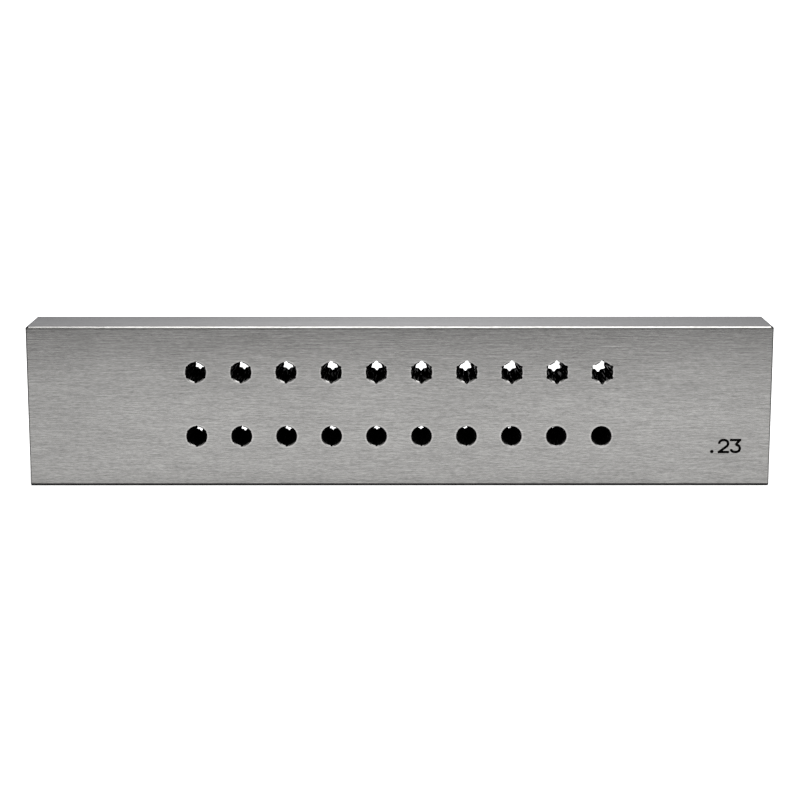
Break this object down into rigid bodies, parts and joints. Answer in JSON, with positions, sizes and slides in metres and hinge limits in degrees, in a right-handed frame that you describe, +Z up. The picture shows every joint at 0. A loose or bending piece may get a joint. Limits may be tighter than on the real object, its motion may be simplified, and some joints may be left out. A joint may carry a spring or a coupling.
{
  "type": "wire draw plate",
  "caption": "Ground steel bar with rows of tapered star-shaped dies, through which wire is pulled to thin and shape it.",
  "frame": {"origin": "middle of the lower long face, which the plate stands on", "axes": "+X along the length, towards the size mark; +Y from the front face to the back face, the way the wire is pulled; +Z up"},
  "size_m": [0.175, 0.016, 0.0381],
  "materials": {
    "plate_steel": "ground, with a fine grain along the length",
    "die_steel": "hardened, ground flush on the face and polished in the bore"
  },
  "bodies": {
    "root": {"plate": "plate_steel", "star_die_01": "die_steel", "star_die_02": "die_steel", "star_die_03": "die_steel", "star_die_04": "die_steel", "star_die_05": "die_steel", "star_die_06": "die_steel", "star_die_07": "die_steel", "star_die_08": "die_steel", "star_die_09": "die_steel", "star_die_10": "die_steel", "star_die_11": "die_steel", "star_die_12": "die_steel", "star_die_13": "die_steel", "star_die_14": "die_steel", "star_die_15": "die_steel", "star_die_16": "die_steel", "star_die_17": "die_steel", "star_die_18": "die_steel", "star_die_19": "die_steel", "star_die_20": "die_steel"}
  },
  "joints": []
}
